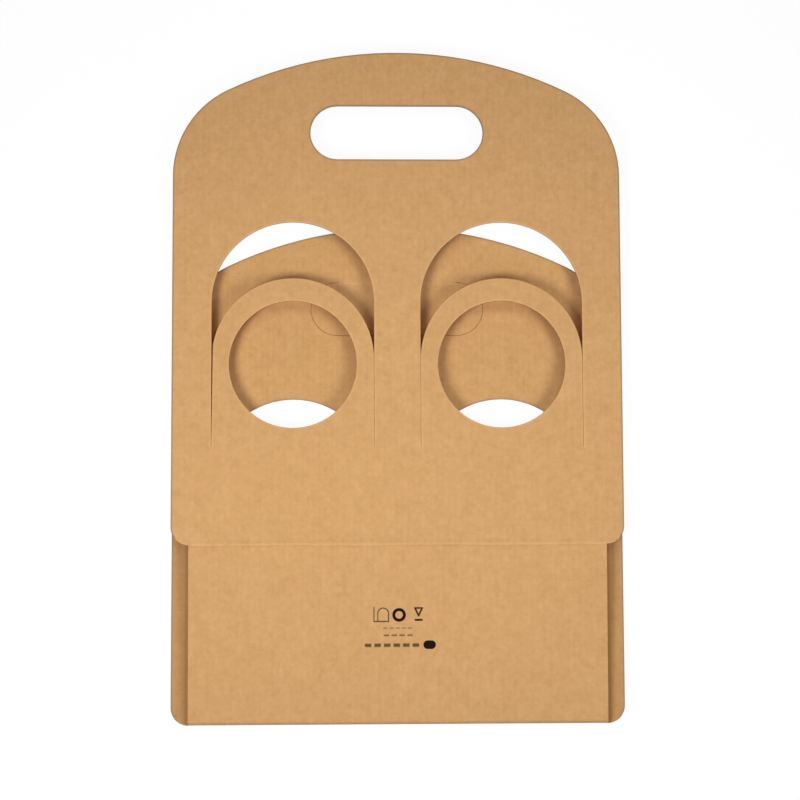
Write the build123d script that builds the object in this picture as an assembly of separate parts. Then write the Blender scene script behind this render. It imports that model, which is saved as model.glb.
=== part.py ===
"""Two-cup carrier, die-cut from one sheet of kraft corrugated board and folded flat.

The sheet is a front panel, a base and a back panel in one strip. In use both panels stand up
from the base, their cup rings fold inwards and the back panel's flap goes through the front
panel's hand hole. Here it is packed flat: it is folded double along the back crease and lies
on its back panel. X runs across the carrier, +Y runs from that fold to the hand holes, +Z is
up, and the origin is under the middle of the whole. Sizes are in millimetres.
"""

from build123d import *
import math
import os

# The board, and the width of the slits that the die cuts in it
board = 1.5
knife_cut = 0.1
flap_slit = 0.2

# The cup rings. Each is a tab that stays joined to its panel along a hinge at its lower end.
hinge_height = 54.5
cup_hole_radius = 36.0
ring_side = 9.7
ring_end = 12.9
ring_neck = 10.8
loose_slit = 0.65

# The board left between and beside the arched windows, and how far they rise above the rings
window_rise = 31.9
middle_strip = 26.2
side_strip = 22.3

# The hand hole, which is open in the front panel and closed by a flap in the back one, with the
# bridge of board under it and the grip over it
hand_hole_length = 98.2
hand_hole_width = 30.8
bridge = 36.3
grip = 31.2

# The corners of both side panels
dome_radius = 221.0
shoulder_radius = 54.7
foot_radius = 10.0

# The base, from the middle of one crease to the middle of the other
base_depth = 100.4

# How the packed sheet lies: the clear gap inside its fold, and two slopes in degrees
fold_gap = 2.4
base_slope = 2.2
front_slope = 0.2

# Score lines pressed into the sheet
score_width = 3.0
score_depth = 0.25
flap_score_depth = 0.15

# Places that follow. Heights in a panel are measured from the middle of its own crease.
ring_radius = cup_hole_radius + ring_side
cup_hole_height = hinge_height + ring_neck + cup_hole_radius
ring_height = cup_hole_height + cup_hole_radius + ring_end - ring_radius
window_radius = ring_radius + knife_cut
window_height = ring_height + window_rise
window_spacing = 2 * window_radius + middle_strip
hand_hole_height = window_height + window_radius + bridge + hand_hole_width / 2
panel_height = hand_hole_height + hand_hole_width / 2 + grip
panel_width = window_spacing + 2 * window_radius + 2 * side_strip
base_width = panel_width - 2 * foot_radius
fold_radius = (fold_gap + board) / 2
fold_turn = math.radians(180 - base_slope)
half_fold = fold_radius * fold_turn / 2


def panel_outline():
    """A panel's outline: two feet, straight sides, round shoulders and one broad dome."""
    dome_centre = panel_height - dome_radius
    shoulder_x = panel_width / 2 - shoulder_radius
    between_centres = dome_radius - shoulder_radius
    shoulder_y = dome_centre + math.sqrt(between_centres**2 - shoulder_x**2)
    stretch = dome_radius / between_centres
    blend = (shoulder_x * stretch, dome_centre + (shoulder_y - dome_centre) * stretch)
    side = panel_width / 2
    foot_end = side - foot_radius
    foot_middle = foot_radius * (1 - math.sqrt(0.5))
    to_middle = math.atan2(blend[1] - shoulder_y, blend[0] - shoulder_x) / 2
    shoulder_middle = (
        shoulder_x + shoulder_radius * math.cos(to_middle),
        shoulder_y + shoulder_radius * math.sin(to_middle),
    )
    with BuildSketch() as outline:
        with BuildLine():
            Line((-foot_end, 0), (foot_end, 0))
            ThreePointArc((foot_end, 0), (side - foot_middle, foot_middle), (side, foot_radius))
            Line((side, foot_radius), (side, shoulder_y))
            ThreePointArc((side, shoulder_y), shoulder_middle, blend)
            ThreePointArc(blend, (0, panel_height), (-blend[0], blend[1]))
            ThreePointArc(
                (-blend[0], blend[1]), (-shoulder_middle[0], shoulder_middle[1]), (-side, shoulder_y)
            )
            Line((-side, shoulder_y), (-side, foot_radius))
            ThreePointArc((-side, foot_radius), (foot_middle - side, foot_middle), (-foot_end, 0))
        make_face()
    return outline.sketch


def arched(radius, foot, centre):
    """A flat-footed shape with straight sides and a half-round top."""
    sides = Pos(0, (foot + centre) / 2) * Rectangle(2 * radius, centre - foot)
    return sides + Pos(0, centre) * Circle(radius)


def cup_window(slack):
    """What is cut away at one cup: the window less its ring. The ring's left slit gapes by slack."""
    ring = arched(ring_radius, hinge_height, ring_height)
    if slack:
        slack_top = ring_height + math.sqrt(ring_radius**2 - (ring_radius - slack) ** 2)
        ring -= make_face(
            Polyline(
                (-ring_radius, hinge_height),
                (-ring_radius, slack_top),
                (slack - ring_radius, slack_top),
                close=True,
            )
        )
    ring -= Pos(0, cup_hole_height) * Circle(cup_hole_radius)
    return arched(window_radius, hinge_height, window_height) - ring


def flap_cut():
    """The knife's path round the flap: both ends and the lower side, with the top left joined."""
    hole = SlotOverall(hand_hole_length, hand_hole_width)
    flap = SlotOverall(hand_hole_length - 2 * flap_slit, hand_hole_width - 2 * flap_slit)
    straight = hand_hole_length - hand_hole_width
    hinge = Pos(0, hand_hole_width / 2) * Rectangle(straight, 4 * flap_slit)
    return Pos(0, hand_hole_height) * (hole - flap - hinge)


def cut_panel(hand_hole, slack):
    """One panel of board with its cuts, lying about the XY plane with its crease along X."""
    left = Pos(-window_spacing / 2) * cup_window(slack)
    right = Pos(window_spacing / 2) * cup_window(0)
    return extrude(panel_outline() - hand_hole - left - right, board / 2, both=True)


def score_section(depth, lap):
    """The section of a score line: a shallow hump on a foot that reaches lap below it."""
    half = score_width / 2
    hump = ThreePointArc((-half, 0), (0, depth), (half, 0))
    foot = Polyline((half, 0), (half, -lap), (-half, -lap), (-half, 0))
    return make_face(hump + foot)


def along(section_plane, section, length):
    """A section swept evenly to both sides of its plane."""
    return extrude(section_plane * section, length / 2, both=True)


def across(y, z, slope):
    """A plane across the sheet at y and z, with its own Y axis square to a board of that slope."""
    lean = math.radians(slope)
    return Plane((0, y, z), x_dir=(0, math.cos(lean), math.sin(lean)), z_dir=(1, 0, 0))


def along_board(y, z, slope):
    """The middle plane of a board that passes through y and z with that slope."""
    lean = math.radians(slope)
    return Plane((0, y, z), x_dir=(1, 0, 0), z_dir=(0, -math.sin(lean), math.cos(lean)))


def offset_point(y, z, slope, run, rise):
    """A point that lies run along and rise above another, measured on a board of that slope."""
    lean = math.radians(slope)
    return (
        y + run * math.cos(lean) - rise * math.sin(lean),
        z + run * math.sin(lean) + rise * math.cos(lean),
    )


# The middle of the back panel's board starts at the origin, and the fold rolls up from it.
fold_centre = (half_fold, fold_radius)
base_start = offset_point(*fold_centre, base_slope, 0, fold_radius)
base_run = base_depth - half_fold
crease = offset_point(*base_start, base_slope, base_run, 0)
crease_turn = math.radians(base_slope - front_slope)
mitre = board / 2 / math.cos(crease_turn / 2)
mitre_slope = (base_slope + front_slope) / 2


def fold_and_base():
    """The rolled fold and the base in one section, which laps into both panels."""
    lap = score_width
    half = board / 2
    inner = fold_radius - half
    outer = fold_radius + half
    middle = -math.pi / 2 - fold_turn / 2
    halfway = (math.cos(middle), math.sin(middle))
    outer_crease = offset_point(*crease, mitre_slope, 0, mitre)
    inner_crease = offset_point(*crease, mitre_slope, 0, -mitre)
    outer_start = offset_point(*base_start, base_slope, 0, half)
    inner_start = offset_point(*base_start, base_slope, 0, -half)
    outer_middle = (fold_centre[0] + outer * halfway[0], fold_centre[1] + outer * halfway[1])
    inner_middle = (fold_centre[0] + inner * halfway[0], fold_centre[1] + inner * halfway[1])
    with BuildSketch() as section:
        with BuildLine():
            Line((half_fold + lap, -half), (half_fold, -half))
            ThreePointArc((half_fold, -half), outer_middle, outer_start)
            Polyline(
                outer_start,
                outer_crease,
                offset_point(*crease, front_slope, lap, half),
                offset_point(*crease, front_slope, lap, -half),
                inner_crease,
                inner_start,
            )
            ThreePointArc(inner_start, inner_middle, (half_fold, half))
            Polyline((half_fold, half), (half_fold + lap, half), (half_fold + lap, -half))
        make_face()
    return along(across(0, 0, 0), section.sketch, base_width)


def back_panel():
    """The panel that the packed sheet lies on, with its flap still in the hand hole."""
    panel = cut_panel(flap_cut(), 0)
    rolled_up = Pos(0, half_fold / 2) * Box(base_width, half_fold, board)
    flap_hinge = across(hand_hole_height + hand_hole_width / 2, board / 2, 180)
    groove = along(
        flap_hinge, score_section(flap_score_depth, board / 4), hand_hole_length - hand_hole_width
    )
    return panel - rolled_up - groove


def front_panel():
    """The panel on top, with an open hand hole and one ring that stands a little loose."""
    hand_hole = Pos(0, hand_hole_height) * SlotOverall(hand_hole_length, hand_hole_width)
    return along_board(*crease, front_slope) * cut_panel(hand_hole, loose_slit)


def crease_score():
    """The front crease: what stands proud of the sheet outside, and what is pressed in inside."""
    outside = across(*offset_point(*crease, mitre_slope, 0, board / 2), mitre_slope)
    inside = across(*offset_point(*crease, mitre_slope, 0, -board / 2), mitre_slope)
    section = score_section(score_depth, board / 4)
    return along(outside, section, base_width), along(inside, section, base_width)


def cup_carrier():
    """The whole sheet, moved so that the middle of its underside is the origin."""
    bead, groove = crease_score()
    sheet = back_panel() + fold_and_base() + front_panel() + bead - groove
    box = sheet.bounding_box()
    return Pos(0, -box.center().Y, -box.min.Z) * sheet


os.makedirs("parts", exist_ok=True)
carrier = cup_carrier()
carrier.label = "cup_carrier"
export_step(carrier, "parts/cup_carrier.step")
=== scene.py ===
import math

import bmesh
import bpy
from mathutils import Matrix, Vector


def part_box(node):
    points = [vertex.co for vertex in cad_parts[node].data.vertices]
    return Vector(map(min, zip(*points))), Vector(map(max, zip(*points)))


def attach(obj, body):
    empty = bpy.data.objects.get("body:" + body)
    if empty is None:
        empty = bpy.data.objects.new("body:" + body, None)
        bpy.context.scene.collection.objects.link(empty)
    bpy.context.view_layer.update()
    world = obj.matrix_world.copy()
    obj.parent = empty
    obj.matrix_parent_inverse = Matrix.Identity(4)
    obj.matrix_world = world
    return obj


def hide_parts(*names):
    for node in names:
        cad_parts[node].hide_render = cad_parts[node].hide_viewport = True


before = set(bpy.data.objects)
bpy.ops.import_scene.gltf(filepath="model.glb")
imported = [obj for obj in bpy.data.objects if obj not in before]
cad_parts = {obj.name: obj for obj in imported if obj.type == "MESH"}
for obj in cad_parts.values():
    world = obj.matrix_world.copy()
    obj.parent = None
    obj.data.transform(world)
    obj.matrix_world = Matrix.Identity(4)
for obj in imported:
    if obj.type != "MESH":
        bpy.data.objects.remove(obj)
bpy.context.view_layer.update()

MM = 0.001

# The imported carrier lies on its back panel, with the fold along its front edge. Half the fold's
# height parts the upper leaf, which is the base and front panel, from the lower leaf.
CARRIER = "cup_carrier"
LOW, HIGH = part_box(CARRIER)
FOLD_Y = LOW.y
FOLD_MIDDLE_Z = 2.7 * MM
CREASE_Y = FOLD_Y + 100.25 * MM
BASE_SIDE_X = 117 * MM

# What is merged in the CAD mesh: corners this close, and faces that meet at no more than this angle
MERGE = 0.03 * MM
FLAT_ANGLE = math.radians(0.4)

# A face of that mesh is liner if its normal leans less sideways than this, and either points up or
# down more than this or is this near to the fold or the front crease
SIDEWAYS = 0.01
LEVEL = 0.5
NEAR_FOLD = 8 * MM
NEAR_CREASE = 3 * MM

# The board's material slots. A pressed rim has the outside's finish, or else moves to the inside's.
OUTSIDE, INSIDE, CUT, RIM = range(4)

# The cut rims, which the die presses round, and the band of liner beside them that is set apart
RIM_ROUND = 0.3 * MM
RIM_STEPS = 2
RIM_BAND = 0.9 * MM

# How far the fold and the front crease reach along the sheet. Rims in their reach stay sharp.
FOLD_REACH = 3.5 * MM
CREASE_REACH = 3.2 * MM

# The part of the back panel that holds its flap, whose slit stays shut and sharp
FLAP_SIDE = 50.5 * MM
FLAP_FOOT = 26.5 * MM
FLAP_TOP = 61.0 * MM

# The rims beyond these places are on the outline of a leaf or round the upper leaf's hand hole
OUTLINE_X = 112 * MM
UPPER_RIMS_Y = HIGH.y - 70 * MM
LOWER_RIMS_Y = FLAP_TOP

# The grid that lets the board bow. Its first cut is this part of a step from the carrier's edge.
GRID_STEP = 11.0 * MM
GRID_START = 0.63

# How far from the fold the bow has its full size, and how far from the front crease the wander of
# that line ends
BOW_FADE = 40.0 * MM
WANDER_FADE = 6.0 * MM

# Faces that meet at less than this angle are shaded as one curve
SMOOTH_ANGLE = math.radians(40)

# The camera, which looks down from a metre away
CAMERA_AIM = Vector((1.58 * MM, CREASE_Y + 81.724 * MM, 0))
CAMERA_DISTANCE = 1.0
CAMERA_TILT = math.radians(5.057)
CAMERA_PAN = math.radians(-1.443)
CAMERA_ROLL = math.radians(0.232)
SENSOR_WIDTH = 36.0
PHOTO_WIDTH = 800
FOCAL_PIXELS = 1760.2

# The softboxes. All face one place, from the same distance, through a grid that narrows their light.
LIT_POINT = Vector((0, -14 * MM, 0))
SOFTBOX_DISTANCE = 0.75
SOFTBOX_SIZE = 0.3
SOFTBOX_SPREAD = math.radians(100)

# The strength of the light from all round
WORLD_LIGHT = 0.01

# The floor and the dark sheet over it, which is painted shade under the back panel's flap, and how far
# below the carrier each lies. The floor is one grey to the light that it gives back, and a darker one with
# a glow to the camera.
FLOOR_SIZE = 8
FLOOR_DEPTH = 0.15 * MM
FLOOR_LIT = (0.35, 0.35, 0.35, 1)
FLOOR_SEEN = (0.10, 0.10, 0.10, 1)
FLOOR_GLOW = 0.93
SHEET_DEPTH = 0.07 * MM
PAINTED_SHADE_DARK = (0.03, 0.02, 0.01, 1)
WHITE = (1, 1, 1, 1)

# The finishes' colours
KRAFT_LIGHT = (0.802, 0.467, 0.205, 1)
KRAFT_DARK = (0.657, 0.352, 0.136, 1)
LINER_LIGHT = (0.769, 0.441, 0.188, 1)
LINER_DARK = (0.629, 0.332, 0.122, 1)
# Worn liner, also used for the painted shade beside the base's edge
LINER_WORN_AND_SHADED = (0.431, 0.220, 0.078, 1)
RIM_GREY = (0.430, 0.271, 0.150, 1)
CUT_PAPER = (0.51, 0.28, 0.112, 1)
# Painted shade in the open channels of the fluting
CUT_HOLLOW_SHADE = (0.16, 0.075, 0.028, 1)
INK = (0.016, 0.006, 0.002, 1)

# From one rib of the fluting to the next
FLUTE_PITCH = 3.3 * MM

# How much the matt board still mirrors, as the shader's specular level
BOARD_GLOSS = 0.15

# A scuffed spot inside the back panel's left foot
SCUFF_X = -124 * MM
SCUFF_Y = -186 * MM

# The print is laid out in millimetres. It keeps to this stretch of the base and has soft edges.
PRINT_FOOT = -160.0
PRINT_TOP = -115.0
INK_SOFTNESS = 0.15

# The Mix node's sockets for colours, which go by number because they share their names with others
MIX_FACTOR, MIX_FIRST, MIX_SECOND = 0, 6, 7
MIX_RESULT = 2


def in_order(*values):
    """The values of a node's first sockets, in their order."""
    return dict(enumerate(values))


class Value:
    """A number that varies over a surface. Python's operators on it add Math nodes."""

    def __init__(self, finish, socket):
        self.finish = finish
        self.socket = socket

    def maths(self, operation, *values):
        return self.finish.add("Math", {"operation": operation}, in_order(*values))

    def __add__(self, other):
        return self.maths("ADD", self, other)

    def __sub__(self, other):
        return self.maths("SUBTRACT", self, other)

    def __rsub__(self, other):
        return self.maths("SUBTRACT", other, self)

    def __mul__(self, other):
        return self.maths("MULTIPLY", self, other)

    def __lt__(self, other):
        return self.maths("LESS_THAN", self, other)

    def __gt__(self, other):
        return self.maths("GREATER_THAN", self, other)

    def __abs__(self):
        return self.maths("ABSOLUTE", self)

    __radd__ = __add__
    __rmul__ = __mul__

    def sine(self):
        return self.maths("SINE", self)

    def larger(self, other):
        return self.maths("MAXIMUM", self, other)

    def smaller(self, other):
        return self.maths("MINIMUM", self, other)

    def across(self, other):
        """The distance from the origin, with this as one coordinate and other as the second."""
        return self.maths("POWER", self * self + other * other, 0.5)

    def ramp(self, low, high):
        """Rises smoothly from 0 at low to 1 at high."""
        settings = {"interpolation_type": "SMOOTHSTEP"}
        return self.finish.add("MapRange", settings, {"Value": self, "From Min": low, "From Max": high})


class Nodes:
    """An empty node tree, and the one way in which its nodes are added."""

    def __init__(self, tree):
        self.tree = tree
        self.tree.nodes.clear()

    def add(self, kind, settings=None, inputs=None, output=0):
        node = self.tree.nodes.new("ShaderNode" + kind)
        for name, value in (settings or {}).items():
            setattr(node, name, value)
        for name, value in (inputs or {}).items():
            if isinstance(value, Value):
                self.tree.links.new(value.socket, node.inputs[name])
            else:
                node.inputs[name].default_value = value
        return Value(self, node.outputs[output]) if node.outputs else None


class Finish(Nodes):
    """A material, with the patterns and mixes that its maker draws on."""

    def __init__(self, name):
        self.material = bpy.data.materials.new(name)
        self.material.use_nodes = True
        super().__init__(self.material.node_tree)

    def place(self, stretch=(1, 1, 1)):
        """Object coordinates, stretched along the axes."""
        here = self.add("TexCoord", output="Object")
        return self.add("Mapping", inputs={"Vector": here, "Scale": stretch})

    def axes(self):
        """The three object coordinates as numbers."""
        here = self.add("TexCoord", output="Object")
        split = self.add("SeparateXYZ", inputs={"Vector": here})
        return [Value(self, output) for output in split.socket.node.outputs]

    def noise(self, size, stretch=(1, 1, 1), detail=2.0, roughness=0.5, seed=0.0):
        """Noise between -1 and 1 with features of about that size in metres."""
        inputs = {
            "Vector": self.place(stretch),
            "W": seed,
            "Scale": 1 / size,
            "Detail": detail,
            "Roughness": roughness,
        }
        return self.add("TexNoise", {"noise_dimensions": "4D"}, inputs) * 2 - 1

    def blend(self, factor, first, second):
        """The first colour where factor is 0, the second where it is 1."""
        settings = {"data_type": "RGBA", "clamp_factor": True}
        inputs = {MIX_FACTOR: factor, MIX_FIRST: first, MIX_SECOND: second}
        return self.add("Mix", settings, inputs, output=MIX_RESULT)

    def attribute(self, name):
        """A number that the mesh stores under that name."""
        return self.add("Attribute", {"attribute_name": name}, output="Fac")

    def board(self, colour, roughness, height, strength, distance):
        """The board's shader, with its grain as a bump of that height."""
        normal = self.add("Bump", inputs={"Strength": strength, "Distance": distance, "Height": height})
        inputs = {
            "Base Color": colour,
            "Roughness": roughness,
            "Specular IOR Level": BOARD_GLOSS,
            "Normal": normal,
        }
        shader = self.add("BsdfPrincipled", inputs=inputs)
        self.show(shader)

    def show(self, shader):
        """Gives the material that shader."""
        self.add("OutputMaterial", inputs={"Surface": shader})


def kraft_grain(finish):
    """The mottling, streaks, fibres and flecks of kraft liner, as a shade and as a height."""
    cloud = finish.noise(55 * MM, detail=1.0, seed=1.0)
    mottle = finish.noise(9 * MM, detail=2.0, roughness=0.6, seed=2.0)
    fleck = finish.noise(3.4 * MM, detail=3.0, roughness=0.7, seed=3.0)
    streak = finish.noise(3.2 * MM, stretch=(1, 0.08, 1), detail=2.0, seed=4.0)
    along = finish.noise(1.1 * MM, stretch=(1, 0.2, 1), detail=1.0, seed=5.0)
    across = finish.noise(1.1 * MM, stretch=(0.2, 1, 1), detail=1.0, seed=6.0)
    fibre = along.larger(across)
    chaff = finish.noise(2.1 * MM, stretch=(1, 0.5, 1), detail=1.0, seed=7.0).ramp(0.40, 0.60)
    shade = 0.5 + cloud * 0.06 + mottle * 0.27 + fleck * 0.80 + streak * 0.12 + fibre * 0.16 - chaff * 0.25
    height = fleck * 0.3 + fibre * 0.4 + mottle * 0.3
    return shade, height


def flutes(x):
    """The ribs of the fluting under the liner, which just show through it."""
    return (x * (2 * math.pi / FLUTE_PITCH)).sine()


def inked(distance, width):
    """Ink within half a width of a line, with a soft edge."""
    return 1 - distance.ramp(width / 2 - INK_SOFTNESS, width / 2 + INK_SOFTNESS)


def stroke(x, y, start, end, width):
    """A straight stroke of ink from one place to another."""
    length = math.dist(start, end)
    run_x = (end[0] - start[0]) / length
    run_y = (end[1] - start[1]) / length
    dx = x - start[0]
    dy = y - start[1]
    run = (dx * run_x + dy * run_y).larger(0).smaller(length)
    return inked((dx - run * run_x).across(dy - run * run_y), width)


def ring(x, y, centre, radius, width):
    """A round line of ink."""
    return inked(abs((x - centre[0]).across(y - centre[1]) - radius), width)


def overlaid(marks):
    """Several marks as one, which is as dark as the darkest of them at each place."""
    result = marks[0]
    for mark in marks[1:]:
        result = result.larger(mark)
    return result


def arch_mark(x, y):
    """An outlined arch beside an upright line, on one foot."""
    thin, middling, thick = 0.6, 0.7, 0.8
    side = 3.0
    centre = (-8.5, -128.6)
    foot = -133.0
    left = centre[0] - side
    right = centre[0] + side
    line_x = -13.6
    line_top = -125.3
    top = ring(x, y, centre, side, middling) * (y > centre[1])
    strokes = [
        stroke(x, y, (left, centre[1]), (left, foot), thin),
        stroke(x, y, (right, centre[1]), (right, foot), middling),
        stroke(x, y, (line_x, foot), (right, foot), thick),
        stroke(x, y, (line_x, line_top), (line_x, foot), thin),
    ]
    return overlaid([top] + strokes)


def pointed_mark(x, y):
    """A triangle that points down at a short bar."""
    left, right, tip = (9.3, -125.6), (13.3, -125.6), (11.3, -129.9)
    bar_left, bar_right = (9.6, -132.2), (13.0, -132.2)
    strokes = [
        stroke(x, y, left, right, width=0.9),
        stroke(x, y, left, tip, width=1.0),
        stroke(x, y, right, tip, width=1.0),
        stroke(x, y, bar_left, bar_right, width=1.2),
    ]
    return overlaid(strokes)


def dashed_row(x, y, middle, left, right, tall, dashes):
    """A row of plain dashes with soft edges."""
    pitch = (right - left) / dashes
    along_row = ((x - left) * (2 * math.pi / pitch) - math.pi / 2).sine()
    in_dash = along_row.ramp(-0.8, -0.3)
    in_row = 1 - abs(y - middle).ramp(tall * 0.2, tall * 0.5)
    return in_row * (x > left) * (x < right) * in_dash


def printed_marks(finish, x, y, z):
    """The print on the base: three plain shapes, three rows of dashes and a rounded block."""
    wander = finish.noise(0.7 * MM, seed=20.0) * 0.12
    x = x * (1 / MM) + wander
    y = y * (1 / MM) + wander
    marks = [
        arch_mark(x, y) * 0.8,
        ring(x, y, centre=(0.4, -129.4), radius=2.95, width=1.7),
        pointed_mark(x, y) * 0.95,
        dashed_row(x, y, middle=-136.7, left=-8.9, right=8.2, tall=1.2, dashes=5) * 0.45,
        dashed_row(x, y, middle=-140.7, left=-8.9, right=8.6, tall=1.5, dashes=4) * 0.65,
        dashed_row(x, y, middle=-146.2, left=-19.6, right=12.4, tall=2.8, dashes=6) * 0.80,
        stroke(x, y, start=(16.3, -146.0), end=(18.5, -146.0), width=4.8),
    ]
    on_base = (y > PRINT_FOOT) * (y < PRINT_TOP) * (z > FOLD_MIDDLE_Z)
    return overlaid(marks) * on_base


def creased(finish, y, z):
    """How the front crease shades the liner: paler along its ridge, and darker on both sides of it as
    painted shade.
    """
    flank_off = 2.2 * MM
    wander = finish.noise(7 * MM, stretch=(1, 0.3, 1), seed=40.0) * (0.5 * MM)
    uneven = 0.75 + finish.noise(18 * MM, seed=41.0) * 0.5
    off = abs(y - CREASE_Y + wander)
    ridge = 1 - off.ramp(0.3 * MM, 1.5 * MM)
    flank = 1 - abs(off - flank_off).ramp(0.2 * MM, 1.0 * MM)
    return (ridge * 0.44 - flank * 0.04) * uneven * (z > FOLD_MIDDLE_Z)


def darker_beside_base(x, y, z):
    """Darker lower leaf along both sides of the base, and most at their edge, where a painted shadow of
    the base's edge lies.
    """
    past_crease = 10 * MM
    darkest_off = 1.2 * MM
    under_base = (z < FOLD_MIDDLE_Z) * (y < CREASE_Y + past_crease)
    beside_base = abs(x).ramp(BASE_SIDE_X - 1 * MM, BASE_SIDE_X + 1 * MM)
    base_edge_shadow = 1 - abs(abs(x) - BASE_SIDE_X - darkest_off).ramp(0.3 * MM, 1.9 * MM)
    return (beside_base * 0.32 + base_edge_shadow * 0.45) * under_base


def scuffed(finish, x, y):
    """The scuffed spot in the left foot, with a ragged edge."""
    away = (x - SCUFF_X).across(y - SCUFF_Y)
    ragged = finish.noise(1.6 * MM, seed=50.0).ramp(-0.3, 0.3)
    return (1 - away.ramp(0.8 * MM, 2.6 * MM)) * ragged


def worn_outline(finish):
    """The narrow greyed band along the outline of each leaf and round the open hand hole."""
    strength = 0.85
    return finish.attribute("outline").ramp(0.1, 0.75) * strength


def liner(finish, colour, height, ribs):
    """Gives a finish a liner's shader: matt, with its fibres and the fluting's ribs as a fine bump."""
    roughness = 0.88 + height * 0.05
    finish.board(colour, roughness, height + ribs * 0.25, strength=0.35, distance=0.06 * MM)


def kraft_outside():
    """The liner that faces out once the carrier is set up: the front and base, and the underside."""
    finish = Finish("kraft_outside")
    x, y, z = finish.axes()
    ribs = flutes(x)
    rim = finish.attribute("rim")
    shade, height = kraft_grain(finish)
    shade = shade + ribs * 0.03 + rim * 0.48 + creased(finish, y, z)
    paper = finish.blend(shade, KRAFT_DARK, KRAFT_LIGHT)
    printed = finish.blend(printed_marks(finish, x, y, z), paper, INK)
    colour = finish.blend(worn_outline(finish), printed, RIM_GREY)
    liner(finish, colour, height, ribs)
    return finish.material


def kraft_inside():
    """The liner that faces in, between the leaves: browner, darker beside the base with a painted shadow
    of its edge, and worn at its rims and in a scuffed spot.
    """
    finish = Finish("kraft_inside")
    x, y, z = finish.axes()
    ribs = flutes(x)
    rim = finish.attribute("rim")
    shade, height = kraft_grain(finish)
    clean = finish.blend(shade + ribs * 0.04, LINER_DARK, LINER_LIGHT)
    # The strips beside the base are darker and carry painted shade along its edge; the rims are worn and
    # one spot is scuffed.
    worn_and_shaded_mask = darker_beside_base(x, y, z).larger(rim * 0.55).larger(scuffed(finish, x, y))
    worn_and_shaded = finish.blend(worn_and_shaded_mask, clean, LINER_WORN_AND_SHADED)
    colour = finish.blend(worn_outline(finish), worn_and_shaded, RIM_GREY)
    liner(finish, colour, height, ribs)
    return finish.material


def cut_board():
    """A cut edge: two liners with the wave of the fluting between them, and painted shade in the fluting's
    open channels.
    """
    finish = Finish("cut_board")
    across_sheet = finish.axes()[0]
    depth = finish.attribute("depth")
    shade, height = kraft_grain(finish)
    wave = 0.5 + flutes(across_sheet) * 0.3
    fluting = 1 - abs(depth - wave).ramp(0.07, 0.16)
    liners = abs(depth - 0.5).ramp(0.33, 0.41)
    solid = fluting.larger(liners)
    colour = finish.blend(solid * 0.85 + shade * 0.15, CUT_HOLLOW_SHADE, CUT_PAPER)
    finish.board(colour, roughness=0.92, height=solid + height * 0.2, strength=0.5, distance=0.15 * MM)
    return finish.material


def deselect():
    bpy.ops.object.select_all(action="DESELECT")


def pick(piece):
    """Selects one piece and nothing else."""
    deselect()
    piece.select_set(True)
    bpy.context.view_layer.objects.active = piece


def start_edit(piece, kind):
    """Opens a piece in edit mode with nothing selected."""
    pick(piece)
    bpy.ops.object.mode_set(mode="EDIT")
    bpy.ops.mesh.select_mode(type=kind)
    bpy.ops.mesh.select_all(action="DESELECT")


def end_edit():
    bpy.ops.object.mode_set(mode="OBJECT")


def side_of(face):
    """Which side of the sheet a face of the CAD mesh belongs to, from its place and its normal."""
    normal = face.normal
    centre = face.calc_center_median()
    from_fold = Vector((0, centre.y - FOLD_Y - FOLD_MIDDLE_Z, centre.z - FOLD_MIDDLE_Z))
    in_fold = centre.y < FOLD_Y + NEAR_FOLD
    at_crease = abs(centre.y - CREASE_Y) < NEAR_CREASE
    if abs(normal.x) < SIDEWAYS and (in_fold or at_crease or abs(normal.z) > LEVEL):
        return OUTSIDE if normal.dot(from_fold) > 0 else INSIDE
    return CUT


def stays_sharp(place):
    """Whether a point is in the fold, at the front crease or by the back panel's flap."""
    in_fold = place.y < FOLD_Y + FOLD_REACH
    at_crease = place.z > FOLD_MIDDLE_Z and abs(place.y - CREASE_Y) < CREASE_REACH
    at_flap = place.z < FOLD_MIDDLE_Z and abs(place.x) < FLAP_SIDE and FLAP_FOOT < place.y < FLAP_TOP
    return in_fold or at_crease or at_flap


def join_flat_faces():
    """Joins the triangles of the CAD mesh into the flat faces that they make up."""
    bpy.ops.mesh.select_all(action="SELECT")
    bpy.ops.mesh.remove_doubles(threshold=MERGE)
    bpy.ops.mesh.select_all(action="SELECT")
    bpy.ops.mesh.dissolve_limited(angle_limit=FLAT_ANGLE)


def select_rims(piece):
    """Tells liner from cut, and selects the edges between them that the die presses round."""
    shape = bmesh.from_edit_mesh(piece.data)
    for face in shape.faces:
        face.material_index = side_of(face)
        face.select_set(face.material_index != CUT)
    bmesh.update_edit_mesh(piece.data)
    bpy.ops.mesh.region_to_loop()
    shape = bmesh.from_edit_mesh(piece.data)
    for edge in shape.edges:
        if any(stays_sharp(vertex.co) for vertex in edge.verts):
            edge.select_set(False)
    bmesh.update_edit_mesh(piece.data)


def cut_across(axis, place):
    """Cuts the whole piece in edit mode along a plane square to an axis."""
    at = [0, 0, 0]
    normal = [0, 0, 0]
    at[axis] = place
    normal[axis] = 1
    bpy.ops.mesh.select_all(action="SELECT")
    bpy.ops.mesh.bisect(plane_co=at, plane_no=normal)


def part_sharp_places():
    """Cuts the sheet where the places that stay sharp end, so that each face is in them or out."""
    for side in (-1, 1):
        cut_across(0, side * FLAP_SIDE)
        cut_across(1, CREASE_Y + side * CREASE_REACH)
    for place in (FOLD_Y + FOLD_REACH, FLAP_FOOT, FLAP_TOP):
        cut_across(1, place)


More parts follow.
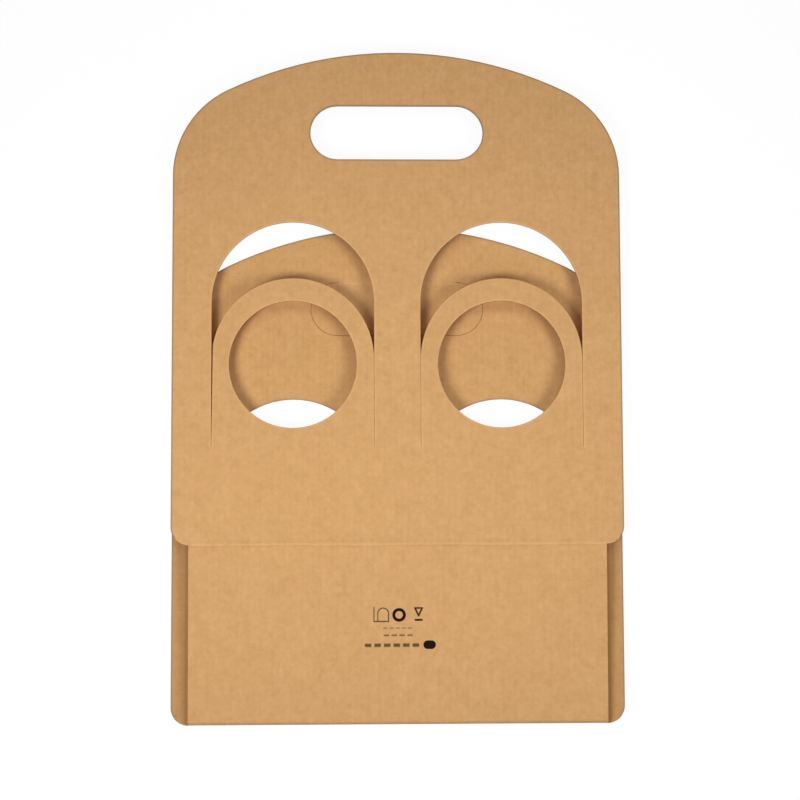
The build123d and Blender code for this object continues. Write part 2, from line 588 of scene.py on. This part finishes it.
def set_bands_apart(piece):
    """Insets the liners, so that the wear of a rim fades over the band beside it."""
    bpy.ops.mesh.select_all(action="DESELECT")
    bpy.ops.mesh.select_mode(type="FACE")
    shape = bmesh.from_edit_mesh(piece.data)
    for face in shape.faces:
        on_liner = face.material_index in (OUTSIDE, INSIDE)
        face.select_set(on_liner and not stays_sharp(face.calc_center_median()))
    bmesh.update_edit_mesh(piece.data)
    bpy.ops.mesh.inset(thickness=RIM_BAND, depth=0)


def press_rims(piece):
    """Rounds the cut rims as the die presses them, and sets the band beside them apart."""
    start_edit(piece, "FACE")
    join_flat_faces()
    select_rims(piece)
    bpy.ops.mesh.bevel(
        offset=RIM_ROUND,
        segments=RIM_STEPS,
        affect="EDGES",
        clamp_overlap=False,
        material=RIM,
        loop_slide=False,
    )
    part_sharp_places()
    set_bands_apart(piece)
    end_edit()


def divide(piece):
    """Cuts the sheet along a grid, so that it can bow."""
    start_edit(piece, "VERT")
    for axis in (0, 1):
        length = HIGH[axis] - LOW[axis]
        steps = round(length / GRID_STEP)
        for step in range(steps):
            cut_across(axis, LOW[axis] + (step + GRID_START) * length / steps)
    end_edit()


def on_outline(place):
    """Whether a rim is on the outline of its leaf or round the upper leaf's hand hole."""
    lowest = UPPER_RIMS_Y if place.z > FOLD_MIDDLE_Z else LOWER_RIMS_Y
    return abs(place.x) > OUTLINE_X or place.y > lowest


def mark_rims(piece):
    """Stores where the pressed rims are, and gives those on the inner liner its finish."""
    mesh = piece.data
    for name in ("rim", "outline"):
        mesh.attributes.new(name, "FLOAT", "POINT")
    rim = mesh.attributes["rim"]
    outline = mesh.attributes["outline"]
    beside_sharp = set()
    for face in mesh.polygons:
        if stays_sharp(face.center):
            beside_sharp.update(face.vertices)
    for face in mesh.polygons:
        if face.material_index == RIM:
            marked = outline if on_outline(face.center) else rim
            for vertex in set(face.vertices) - beside_sharp:
                marked.data[vertex].value = 1.0
            if (face.normal.z > 0) != (face.center.z > FOLD_MIDDLE_Z):
                face.material_index = INSIDE


def mark_cuts(piece):
    """Stores how deep in the board each place of a cut is: 1 at the outer liner and 0 at the inner."""
    mesh = piece.data
    depth = mesh.attributes.new("depth", "FLOAT", "CORNER")
    for face in mesh.polygons:
        if face.material_index == CUT:
            upper_leaf = face.center.z > FOLD_MIDDLE_Z
            for corner in face.loop_indices:
                above = mesh.vertices[mesh.loops[corner].vertex_index].co.z > face.center.z
                depth.data[corner].value = 1.0 if above == upper_leaf else 0.0


def bow(x, y, upper_leaf):
    """How far a leaf has sagged or risen at a place, in metres."""
    far = min(max((y - FOLD_Y) / BOW_FADE, 0), 1)
    fade = far * far * (3 - 2 * far)
    if upper_leaf:
        sag = 0.22
        wide = math.sin(x / (52 * MM) + 0.6) * math.sin(y / (61 * MM) + 1.9)
        tight = math.sin(x / (23 * MM) + y / (47 * MM))
        return fade * MM * (0.16 * wide + 0.05 * tight - sag)
    rise = 0.12
    wide = math.sin(x / (45 * MM) + 2.1) * math.sin(y / (56 * MM) + 0.4)
    return fade * MM * (0.12 * wide + rise)


def let_settle(piece):
    """Bows both leaves a little and lets the crease wander, as worked board does."""
    for vertex in piece.data.vertices:
        x, y, z = vertex.co
        near_crease = max(0, 1 - abs(y - CREASE_Y) / WANDER_FADE)
        wander = 0.22 * math.sin(x / (13 * MM)) + 0.12 * math.sin(x / (5.1 * MM) + 1)
        vertex.co.y = y + near_crease * MM * wander
        vertex.co.z = z + bow(x, y, z > FOLD_MIDDLE_Z)


def folded_board():
    """The whole carrier, which is one folded sheet."""
    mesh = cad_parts[CARRIER].data.copy()
    board = bpy.data.objects.new("folded_board", mesh)
    bpy.context.scene.collection.objects.link(board)
    mesh.materials.clear()
    outside = kraft_outside()
    for material in (outside, kraft_inside(), cut_board(), outside):
        mesh.materials.append(material)
    press_rims(board)
    divide(board)
    mark_rims(board)
    mark_cuts(board)
    let_settle(board)
    pick(board)
    bpy.ops.object.shade_smooth_by_angle(angle=SMOOTH_ANGLE)
    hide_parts(CARRIER)
    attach(board, "root")


def white_floor():
    """A plain white floor. The camera sees it nearly white by itself, with the carrier's soft shadow."""
    deselect()
    bpy.ops.mesh.primitive_plane_add(size=FLOOR_SIZE, location=(0, 0, -FLOOR_DEPTH))
    floor = bpy.context.object
    floor.name = "floor"
    finish = Finish("white_floor")
    plain = finish.add("BsdfDiffuse", inputs={"Color": FLOOR_LIT})
    shaded = finish.add("BsdfDiffuse", inputs={"Color": FLOOR_SEEN})
    white = finish.add("Emission", inputs={"Color": WHITE, "Strength": FLOOR_GLOW})
    seen = finish.add("AddShader", inputs=in_order(shaded, white))
    straight = finish.add("LightPath", output="Is Camera Ray")
    glossy = finish.add("LightPath", output="Is Glossy Ray")
    through = finish.add("LightPath", output="Is Transmission Ray")
    factor = straight.larger(glossy).larger(through)
    finish.show(finish.add("MixShader", inputs=in_order(factor, plain, seen)))
    floor.data.materials.append(finish.material)


def flap_shade():
    """A dark sheet between the floor and the flap: painted shade where the flap lies on the floor, whose
    slit would otherwise show the white floor.
    """
    deselect()
    middle = (FLAP_FOOT + FLAP_TOP) / 2
    bpy.ops.mesh.primitive_plane_add(size=1, location=(0, middle, -SHEET_DEPTH))
    sheet = bpy.context.object
    sheet.name = "flap_shade"
    sheet.scale = (2 * FLAP_SIDE, FLAP_TOP - FLAP_FOOT, 1)
    bpy.ops.object.transform_apply(location=True, rotation=True, scale=True)
    finish = Finish("painted_shade_sheet")
    finish.show(finish.add("BsdfDiffuse", inputs={"Color": PAINTED_SHADE_DARK}))
    sheet.data.materials.append(finish.material)


def softbox(name, azimuth, elevation, power):
    """A square lamp with a grid, which faces the carrier from that side and height in degrees."""
    turn = math.radians(azimuth)
    rise = math.radians(elevation)
    out = Vector((math.cos(rise) * math.cos(turn), math.cos(rise) * math.sin(turn), math.sin(rise)))
    light = bpy.data.lights.new(name, "AREA")
    light.shape = "SQUARE"
    light.size = SOFTBOX_SIZE
    light.spread = SOFTBOX_SPREAD
    light.energy = power
    lamp = bpy.data.objects.new(name, light)
    bpy.context.scene.collection.objects.link(lamp)
    lamp.location = LIT_POINT + SOFTBOX_DISTANCE * out
    lamp.rotation_euler = out.to_track_quat("Z", "Y").to_euler()
    lamp.visible_camera = False


def world_light():
    """An even, faint light from all round. The camera sees plain white behind everything."""
    world = bpy.data.worlds.new("studio")
    bpy.context.scene.world = world
    world.use_nodes = True
    sky = Nodes(world.node_tree)
    faint = sky.add("Background", inputs={"Color": WHITE, "Strength": WORLD_LIGHT})
    white = sky.add("Background", inputs={"Color": WHITE, "Strength": 1.0})
    straight = sky.add("LightPath", output="Is Camera Ray")
    mixed = sky.add("MixShader", inputs=in_order(straight, faint, white))
    sky.add("OutputWorld", inputs={"Surface": mixed})


def photo_camera():
    """The camera of the photograph: nearly overhead, turned a little about each axis."""
    data = bpy.data.cameras.new("camera")
    data.sensor_width = SENSOR_WIDTH
    data.lens = SENSOR_WIDTH * FOCAL_PIXELS / PHOTO_WIDTH
    camera = bpy.data.objects.new("camera", data)
    bpy.context.scene.collection.objects.link(camera)
    forward = Vector((
        -math.sin(CAMERA_PAN),
        math.sin(CAMERA_TILT) * math.cos(CAMERA_PAN),
        -math.cos(CAMERA_TILT) * math.cos(CAMERA_PAN),
    ))
    right = forward.cross(Vector((0, 1, 0))).normalized()
    right = Matrix.Rotation(CAMERA_ROLL, 3, forward) @ right
    up = right.cross(forward)
    turned = Matrix((right, up, -forward)).transposed().to_4x4()
    camera.matrix_world = Matrix.Translation(CAMERA_AIM - CAMERA_DISTANCE * forward) @ turned
    bpy.context.scene.camera = camera


photo_camera()
world_light()
softbox("front_left", azimuth=211, elevation=50, power=0.98)
softbox("front_right", azimuth=333, elevation=42, power=0.73)
softbox("back_right", azimuth=60, elevation=50, power=0.25)
softbox("back_left", azimuth=120, elevation=50, power=0.24)
white_floor()
flap_shade()
folded_board()
bpy.context.scene.view_settings.view_transform = "Standard"
